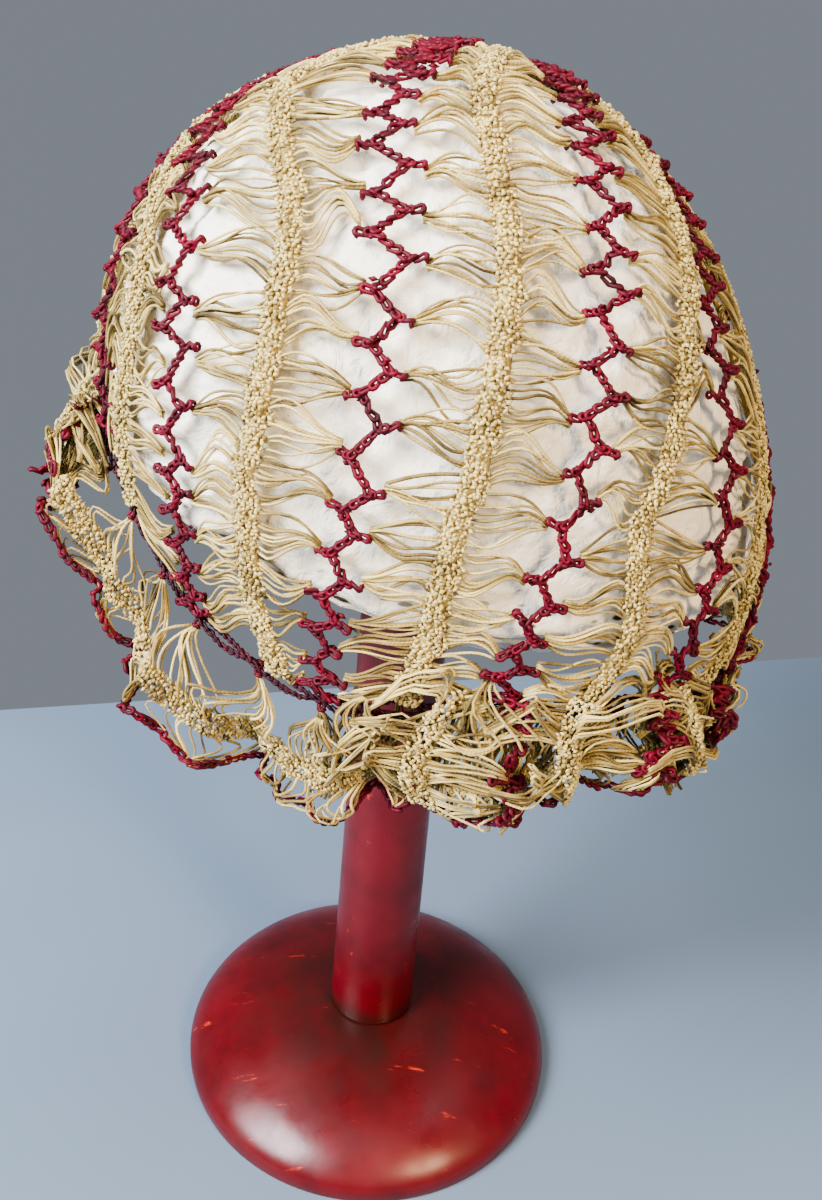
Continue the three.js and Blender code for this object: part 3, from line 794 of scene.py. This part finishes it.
def ruffle_point(mark, share, push=0.0):
    """A point of the ruffle by mark along the rim and share of its length, with its hang and its face."""
    mark, share, push = np.broadcast_arrays(mark, share, push)
    cord = rim_values(RIM_CORDS, mark)
    fold = RUFFLE_FOLD * np.cos(2 * math.pi * mark)
    flare = ((rim_values(RIM_FLARES, mark) + fold) * DEGREE)[..., None]
    outward = cord - CAP_CENTRE
    outward[..., 2] = 0
    outward = unit(outward)
    up = np.array([0.0, 0.0, 1.0])
    hang = outward * np.sin(flare) - up * np.cos(flare)
    face = outward * np.cos(flare) + up * np.sin(flare)
    start = CORD_THICKNESS / 2 + RUFFLE_CLEARANCE
    reach = start + rim_values(RIM_DROPS, mark) * share
    push = push + ripple(mark) * share
    return cord + hang * reach[..., None] + face * push[..., None], hang, face


def make_drawn_cord(cotton):
    """Two dark chains that run round the rim and cross each other."""
    random = np.random.default_rng(800)
    mark = np.linspace(0, STRIPS, CORD_STEPS)
    cord = rim_values(RIM_CORDS, mark)
    outward = unit(cord - CAP_CENTRE)
    downward = rim_values(RIM_DOWNS, mark)
    turn = np.interp(mark, [*FAN_MARKS, STRIPS], np.arange(len(FAN_MARKS) + 1) * math.pi)
    swing = np.sin(turn)[:, None]
    over = np.cos(turn)[:, None]
    batches = []
    for sign in (-1, 1):
        route = cord + sign * (downward * swing * 2.1 + outward * over * 0.8)
        batches.append(chain(route, outward, random, 0.72))
    make_piece("drawn_chain_cord", batches, cotton, ["drawn_cord"])


def ruffle_spine_batches(random):
    """The ruffle's spine: knots on both its faces."""
    mark = np.linspace(0, STRIPS, RUFFLE_STEPS)
    line = ruffle_point(mark, RUFFLE_SPINE_SHARE)[0]
    length = line_length(line)
    rows = round(length / GRAIN_ROW)
    columns = RUFFLE_SPINE_COLUMNS
    mark_at = np.interp((np.arange(rows) + 0.5) * length / rows, run_lengths(line), mark)
    marks = np.repeat(mark_at, columns) + random.normal(0, 0.004, rows * columns)
    column = np.tile(np.arange(columns), rows) - (columns - 1) / 2
    offset = column * SPINE_WIDTH / columns + random.normal(0, 0.25, rows * columns)
    lift = 1.1 * (1 - (2 * column / columns) ** 2) + random.normal(0, 0.25, rows * columns)
    batches = []
    for sign in (-1, 1):
        places, hangs, faces = ruffle_point(marks, RUFFLE_SPINE_SHARE, sign * (0.2 + lift * 0.7))
        places = places + hangs * offset[:, None]
        along = unit(np.cross(hangs, faces))
        # Lower tone than the strips' spines: painted shade of the ruffle's underside.
        tone = 0.52 + random.normal(0, 0.22, rows * columns)
        batches.append(make_grains(places, along, faces * sign, random, tone))
    return batches


def fan_batch(centres, gaps, near, far, n, random, puff, raised=0.0, ragged=0.02, dark=0.0):
    """Fans of n threads from stubs at a near share of the ruffle to a far one, bulging by a puff."""
    count = len(centres)
    slot = (np.arange(n) - (n - 1) / 2) / n
    lean = random.normal(0, 0.22, (count, 1)) * gaps[:, None]
    wide = centres[:, None] + lean + slot * gaps[:, None] * random.uniform(0.6, 1.0, (count, 1))
    tight = centres[:, None] + slot * 0.04
    x = np.linspace(0, 1, THREAD_STEPS)
    hump, sway = np.sin(math.pi * x), np.sin(2 * math.pi * x)
    draw = smooth(np.clip((x - 0.04) / 0.66, 0, 1))
    mark = tight[..., None] + (wide - tight)[..., None] * draw
    bow = slot * 0.2 * gaps[:, None] + random.normal(0, 0.03, (count, 1)) + random.normal(0, 0.02, (count, n))
    curl = random.normal(0, 0.06, (count, 1)) + random.normal(0, 0.015, (count, n))
    mark = mark + bow[..., None] * hump + curl[..., None] * sway
    start = near + random.normal(0, ragged, (count, 1, 1))
    end = far + random.normal(0, ragged, (count, 1, 1)) + random.normal(0, 0.03, (count, n))[..., None]
    share = start + (end - start) * x
    bulge = random.normal(puff, 1.8, (count, 1)) + random.normal(0, 1.0, (count, n))
    push = bulge[..., None] * hump + raised * (1 - x) ** 2
    paths, _, face = ruffle_point(mark, np.broadcast_to(share, mark.shape), push)
    paths = paths.reshape(-1, THREAD_STEPS, 3)
    face = face.reshape(-1, THREAD_STEPS, 3)
    # dark lowers the threads' tone: painted shade of the ruffle's underside and of layers that lie behind.
    tone = np.clip(random.normal(0.5 - dark, 0.28, count * n), 0, 1)
    radius = (THREAD_RADIUS * random.uniform(0.8, 1.2, count * n))[:, None]
    return tubes(paths, radius, face, tone=tone)


def fold_batches(mark, random):
    """The end of a strip folded down over the rim: a short spine with loops out to both sides."""
    t = np.repeat(np.linspace(0, 1, FOLD_ROWS), GRAIN_COLUMNS)
    t = t + random.normal(0, 0.01, FOLD_ROWS * GRAIN_COLUMNS)
    column = np.tile(np.arange(GRAIN_COLUMNS), FOLD_ROWS) - (GRAIN_COLUMNS - 1) / 2

    def fold_point(t, aside, lift=0.0):
        middle = mark + 0.08 * np.sin(4 * t + mark) - 0.1 * t
        push = 3.5 + 3 * np.sin(math.pi * t) + lift
        return ruffle_point(middle + aside, -0.3 + 1.15 * t, push)

    aside = (column * 0.85 + random.normal(0, 0.3, column.shape)) / FOLD_STRIP_WIDTH
    lift = 1.3 * (1 - (2 * column / GRAIN_COLUMNS) ** 2) + random.normal(0, 0.35, column.shape)
    places, hang, face = fold_point(t, aside, lift)
    batches = [make_grains(places, hang, face, random, 0.72 + random.normal(0, 0.25, t.shape))]
    x = np.linspace(0, 1, THREAD_STEPS)
    hump, sway = np.sin(math.pi * x), np.sin(2 * math.pi * x)
    n, bundles = FOLD_THREADS, FOLD_BUNDLES
    for side in (-1, 1):
        middle = (np.arange(bundles) + 0.5) / bundles
        start = middle[:, None] + (np.arange(n) - (n - 1) / 2) / n / bundles
        end = middle[:, None] + random.normal(0.06, 0.09, (bundles, 1)) + random.normal(0, 0.01, (bundles, n))
        arch = random.normal(-0.14, 0.16, (bundles, 1)) + random.normal(0, 0.05, (bundles, n))
        t = start[..., None] + (end - start)[..., None] * smooth(x) + arch[..., None] * hump
        reach = random.uniform(0.3, 0.45, (bundles, 1)) + random.normal(0, 0.006, (bundles, n))
        curl = random.normal(0, 0.07, (bundles, 1, 1)) * sway
        aside = side * (2.2 / FOLD_STRIP_WIDTH + reach[..., None] * x + curl)
        bulge = random.normal(1.5, 1.8, (bundles, 1)) + random.normal(0, 0.8, (bundles, n))
        paths, _, face = fold_point(t, aside, bulge[..., None] * hump - 4.0 * x**3)
        # Lower tone than the strips' loops: painted shade of the ruffle's underside.
        tone = np.clip(random.normal(0.4, 0.28, bundles * n), 0, 1)
        shape = (bundles * n, THREAD_STEPS, 3)
        batches.append(tubes(paths.reshape(shape), THREAD_RADIUS, face.reshape(shape), tone=tone))
    return batches


def make_ruffle(cotton):
    """The ruffle's spine and fans, the crumpled fans right of the middle, and the folded strip ends.

    Three folds are in the crumpled part and one is at the left.
    """
    random = np.random.default_rng(900)
    batches = ruffle_spine_batches(random)
    above, below = RUFFLE_SPINE_SHARE - 0.05, RUFFLE_SPINE_SHARE + 0.05
    # The ruffle's fans are drawn darker than the strips' loops: painted shade of its underside.
    batches.append(fan_batch(FAN_MARKS, FAN_GAPS, 0.0, above, RUFFLE_FAN_THREADS, random, 0.8, dark=0.14))
    batches.append(fan_batch(FAN_ENDS, FAN_GAPS, 0.97, below, HEM_FAN_THREADS, random, 0.4, dark=0.14))
    crumpled = np.linspace(*CRUMPLED_MARKS, CRUMPLED_FANS)
    # The second crumpled layer lies behind the first and is drawn much darker: painted shade.
    for raised, near, far, dark in ((4.5, -0.2, 0.5, 0.15), (-6.0, -0.2, 0.75, 0.5)):
        marks = crumpled + random.normal(0, 0.1, CRUMPLED_FANS)
        gaps = random.uniform(0.2, 0.42, CRUMPLED_FANS)
        n = CRUMPLED_FAN_THREADS
        batches.append(fan_batch(marks, gaps, near, far, n, random, 0.6 * raised, raised, 0.14, dark))
    for mark in FOLD_MARKS:
        batches += fold_batches(mark, random)
    nodes = [f"ruffle_{strip + 1}" for strip in range(STRIPS)]
    piece = make_piece("lace_ruffle", batches, cotton, nodes)
    mark = np.linspace(0, STRIPS, RUFFLE_MEASURE_STEPS)
    length = line_length(ruffle_point(mark, RUFFLE_SPINE_SHARE)[0]) * RUFFLE_GATHER


def make_ruffle_edge(cotton):
    """The crimson chain that holds the outer loops, drawn in between them, with zigzags over the folds."""
    random = np.random.default_rng(950)
    ends = np.append(FAN_ENDS, FAN_ENDS[0] + STRIPS)
    mark = np.linspace(ends[0], ends[-1], RUFFLE_STEPS)
    scallop = np.abs(np.sin(np.interp(mark, ends, np.arange(len(ends)) * math.pi)))
    route, _, face = ruffle_point(mark, 0.99 - 0.1 * scallop, 1.6 * np.sin(40 * mark) * scallop)
    batches = [chain(route, face, random)]
    tips, tip_hang, tip_face = ruffle_point(FAN_ENDS, 0.97)
    frames = turned_frames(tip_hang, tip_face)
    batches.append(copies(WRAP, tips, frames, 0.45))
    stubs, stub_hang, stub_face = ruffle_point(FAN_MARKS, 0.0)
    frames = turned_frames(stub_hang, stub_face)
    batches.append(copies(WRAP, stubs, frames, 0.4))
    batches.append(copies(LINK, stubs - stub_hang * 1.6, frames, 0.4))
    for fold_mark in FOLD_EDGE_MARKS:
        turns = np.arange(FOLD_EDGE_TURNS)
        mark = fold_mark + 0.07 * np.where(turns % 2, 1, -1) + random.normal(0, 0.04, FOLD_EDGE_TURNS)
        push = 5.5 + random.normal(0, 1.5, FOLD_EDGE_TURNS)
        route, _, face = ruffle_point(mark, -0.25 + 0.09 * turns, push)
        batches.append(chain(route, face, random, 1.1))
    make_piece("ruffle_edge_chain", batches, cotton, ["ruffle_edge"])


# Tissue padding
TISSUE_LIFT = -LACE_THICKNESS / 2 - TISSUE_GAP


def tissue_point(compass, rise, lift):
    level = np.cos(rise * DEGREE)
    direction = np.stack(
        [level * np.sin(compass * DEGREE), -level * np.cos(compass * DEGREE), np.sin(rise * DEGREE)], axis=-1
    )
    return cap_surface(turn_about_y(direction, CAP_LEAN), lift)


def rise_at_height(compass, height, lift):
    low = np.full(compass.shape, -60.0)
    high = np.full(compass.shape, 89.0)
    for _ in range(30):
        middle = (low + high) / 2
        below = tissue_point(compass, middle, lift)[..., 2] < height
        low, high = np.where(below, middle, low), np.where(below, high, middle)
    return low


def crumple(points, folds, creases):
    """How far crumpling moves points: soft lumps with sharp creases in them."""
    moves = []
    for point in points:
        place = Vector(point)
        lump = noise.noise(place / 24)
        crease = abs(noise.noise(place / 11 + Vector((7, 3, 1)))) + 0.5 * abs(noise.noise(place / 5))
        moves.append(folds * lump - creases * max(0, 0.35 - crease))
    return np.array(moves)


def sheet_grid(name, columns, rows):
    """A flat grid whose X becomes the compass side and whose Y the way down."""
    bpy.ops.mesh.primitive_grid_add(x_subdivisions=columns, y_subdivisions=rows, size=1)
    grid = bpy.context.object
    grid.name = name
    flat = np.array([v.co for v in grid.data.vertices])
    return grid, (flat[:, 0] + 0.5) * 360, 0.5 - flat[:, 1]


def close_sheet(grid, points, wall):
    """Moves a grid to its points, joins its ends, and gives it its thickness inwards."""
    grid.data.vertices.foreach_set("co", (points * MM).ravel())
    bpy.ops.object.mode_set(mode="EDIT")
    bpy.ops.mesh.select_all(action="SELECT")
    bpy.ops.mesh.remove_doubles(threshold=0.02 * MM)
    bpy.ops.mesh.normals_make_consistent(inside=False)
    bpy.ops.object.mode_set(mode="OBJECT")
    solidify = grid.modifiers.new("wall", "SOLIDIFY")
    solidify.thickness = wall * MM
    solidify.offset = -1
    bpy.ops.object.modifier_apply(modifier="wall")
    bpy.ops.object.shade_smooth()
    return grid


def make_padding(tissue):
    grid, compass, share = sheet_grid("tissue_padding", columns=180, rows=96)
    height = np.interp(compass, TISSUE_SIDES, TISSUE_HEIGHTS)
    height = height + 1.4 * np.sin(compass * DEGREE * 9) + 1.1 * np.sin(compass * DEGREE * 23 + 1)
    lift = np.full(compass.shape, TISSUE_LIFT)
    rise = 90 + (rise_at_height(compass, height, lift) - 90) * share
    smooth_points = tissue_point(compass, rise, lift)
    moves = crumple(smooth_points, 2.2, 7.0)
    points = smooth_points + unit(smooth_points - CAP_CENTRE) * np.minimum(moves - 0.2, 1.2)[:, None]
    padding = close_sheet(grid, points, TISSUE_WALL - 1)
    nodes = ["tissue_crown"] + [f"tissue_panel_{panel + 1}" for panel in range(TISSUE_PANELS)]
    finish_piece(padding, tissue, nodes)


def make_tuck(tissue):
    grid, compass, share = sheet_grid("tucked_tissue", columns=200, rows=12)
    height = np.interp(compass, TISSUE_SIDES, TISSUE_HEIGHTS)
    reach = np.interp(compass, TISSUE_SIDES, TUCK_REACHES)
    lift = np.full(compass.shape, TISSUE_LIFT - TISSUE_WALL / 2)
    edge = tissue_point(compass, rise_at_height(compass, height, lift), lift)
    inward = CAP_CENTRE - edge
    inward[:, 2] = 0
    inward = unit(inward)
    pleat = np.sin(compass * DEGREE * 31) + 0.6 * np.sin(compass * DEGREE * 47 + 2)
    drop = PIECE_GAP + 1.2 + (TUCK_DEPTH - 2) * share + pleat * 1.3 * np.sin(math.pi * share)
    points = edge + inward * (reach * share)[:, None]
    points[:, 2] -= drop
    points[:, 2] += np.minimum(crumple(points, 0.8, 2.0), 1.0)
    tuck = close_sheet(grid, points, 1.0)
    nodes = [f"tissue_tuck_{flap + 1}" for flap in range(TISSUE_PANELS)]
    finish_piece(tuck, tissue, nodes)


# Turned stand
BASE_RADIUS = 70
BASE_RIM_HEIGHT = 4
BASE_HEIGHT = 26
BASE_FULLNESS = 1.6
SEAT_RADIUS = 19.7
COLUMN_FOOT_RADIUS = 15.7
COLUMN_TOP_RADIUS = 12.8


def turned_piece(name, profile, sides):
    """Turns a piece: a disc is drawn up ring by ring through steps of radius and height."""
    radius, height = profile[0]
    bpy.ops.mesh.primitive_circle_add(
        vertices=sides, radius=radius * MM, fill_type="NGON", location=(0, 0, height * MM)
    )
    piece = bpy.context.object
    piece.name = name
    bpy.ops.object.mode_set(mode="EDIT")
    bpy.ops.mesh.select_all(action="SELECT")
    for next_radius, next_height in profile[1:]:
        rise = (0, 0, (next_height - height) * MM)
        bpy.ops.mesh.extrude_region_move(TRANSFORM_OT_translate={"value": rise})
        ratio = next_radius / radius
        bpy.ops.transform.resize(value=(ratio, ratio, 1), center_override=(0, 0, next_height * MM))
        radius, height = next_radius, next_height
    bpy.ops.mesh.select_all(action="SELECT")
    bpy.ops.mesh.normals_make_consistent(inside=False)
    bpy.ops.object.mode_set(mode="OBJECT")
    bpy.ops.object.transform_apply()
    bpy.ops.object.shade_smooth_by_angle(angle=35 * DEGREE)
    return piece


def make_stand(paint):
    profile = [(BASE_RADIUS - 0.8, 0), (BASE_RADIUS - 0.2, 0.4), (BASE_RADIUS, 1.2)]
    seat_swell = (1 - (SEAT_RADIUS / BASE_RADIUS) ** 2) ** (1 / BASE_FULLNESS)
    steps = 26
    for step in range(steps + 1):
        share = 1 + (SEAT_RADIUS / BASE_RADIUS - 1) * (step / steps) ** 1.6
        swell = (1 - share**2) ** (1 / BASE_FULLNESS) / seat_swell
        profile.append((BASE_RADIUS * share, BASE_RIM_HEIGHT + (BASE_HEIGHT - BASE_RIM_HEIGHT) * swell))
    base = turned_piece("turned_base", profile, 128)
    finish_piece(base, paint, ["stand_base"])
    foot, top = [corner[2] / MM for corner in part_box("stand_column")]
    rings = 16
    profile = [(COLUMN_FOOT_RADIUS - 0.5, foot)]
    for ring in range(rings + 1):
        share = ring / rings
        radius = COLUMN_FOOT_RADIUS + (COLUMN_TOP_RADIUS - COLUMN_FOOT_RADIUS) * share
        profile.append((radius, foot + 0.6 + (top - foot - 1.2) * share))
    profile.append((COLUMN_TOP_RADIUS - 0.6, top))
    column = turned_piece("turned_column", profile, 72)
    finish_piece(column, paint, ["stand_column"])


# Camera at the photo's viewing angle
CAMERA_PLACE = (1.45, -319.6, 379.3)
CAMERA_PITCH = 28.9
CAMERA_ROLL = 5.21
CAMERA_LENS = 34.5


def make_camera():
    pitch, roll = CAMERA_PITCH * DEGREE, CAMERA_ROLL * DEGREE
    forward = Vector((0, math.cos(pitch), -math.sin(pitch)))
    level = Vector((1, 0, 0))
    up = level.cross(forward)
    right = level * math.cos(roll) + up * math.sin(roll)
    top = up * math.cos(roll) - level * math.sin(roll)
    data = bpy.data.cameras.new("camera")
    data.sensor_fit = "VERTICAL"
    data.sensor_height = 36
    data.lens = CAMERA_LENS
    data.clip_start = 0.01
    data.clip_end = 20
    camera = new_object("camera", data)
    axes = Matrix((right, top, -forward)).transposed().to_4x4()
    camera.matrix_world = Matrix.Translation(Vector(CAMERA_PLACE) * MM) @ axes
    bpy.context.scene.camera = camera


def make_light(name, place, target, size, power, colour):
    data = bpy.data.lights.new(name, "AREA")
    data.shape = "RECTANGLE"
    data.size, data.size_y = size
    data.energy = power
    data.color = linear(colour)[:3]
    light = new_object(name, data)
    light.location = place
    light.rotation_euler = (Vector(target) - Vector(place)).to_track_quat("-Z", "Y").to_euler()


FLOOR_HALF = 2.0
FLOOR_TURN = 16
FLOOR_END = 0.262


def make_studio():
    """A pale floor that ends behind the object, grey air beyond it, and a window light from the left."""
    turn = FLOOR_TURN * DEGREE
    place = (FLOOR_HALF * math.sin(turn), FLOOR_END - FLOOR_HALF * math.cos(turn), 0)
    bpy.ops.mesh.primitive_plane_add(size=2 * FLOOR_HALF, location=place, rotation=(0, 0, turn))
    floor = bpy.context.object
    floor.name = "floor"
    bpy.ops.object.transform_apply()
    floor.data.materials.append(make_floor_paper())
    make_light("window", (-0.78, -0.6, 0.9), (0, 0, 0.22), (0.6, 0.6), 44, "#fbfaff")
    make_light("front_fill", (0.3, -1.3, 0.9), (0, 0, 0.2), (1.2, 1.0), 2.5, "#fff7ee")
    make_light("lamp", (0.62, -0.72, 0.72), (0, 0, 0.2), (0.24, 0.24), 10, "#ffdcae")
    make_light("top", (0.1, 0.1, 1.5), (0, 0, 0.2), (1.2, 1.2), 10, "#f4f8ff")
    world = bpy.data.worlds.new("studio_air")
    world.use_nodes = True
    world.node_tree.nodes["Background"].inputs["Color"].default_value = linear("#7c8188")
    world.node_tree.nodes["Background"].inputs["Strength"].default_value = 1.0
    bpy.context.scene.world = world
    bpy.context.scene.view_settings.look = "AgX - Medium High Contrast"


make_camera()
make_studio()
ecru_stops = [(0.05, "#453716"), (0.4, "#9b864f"), (0.75, "#d4c284")]
crimson_stops = [(0.1, "#2a000c"), (0.5, "#58001a"), (0.9, "#7c0426")]
maroon_stops = [(0.1, "#1d040b"), (0.5, "#360716"), (0.9, "#530d22")]
ecru = make_cotton("unbleached_crochet_cotton", ecru_stops, 0.75, 0.1, 9)
crimson = make_cotton("crimson_crochet_cotton", crimson_stops, 0.6, 0.0, 8)
maroon = make_cotton("dark_maroon_cotton", maroon_stops, 0.6, 0.0, 8)
tissue_paper = make_tissue()
make_stand(make_red_paint())
make_padding(tissue_paper)
make_tuck(tissue_paper)
for strip_number in range(STRIPS):
    make_strip(strip_number, ecru)
    make_seam(strip_number, crimson)
make_crown(ecru)
make_drawn_cord(maroon)
make_ruffle(ecru)
make_ruffle_edge(crimson)
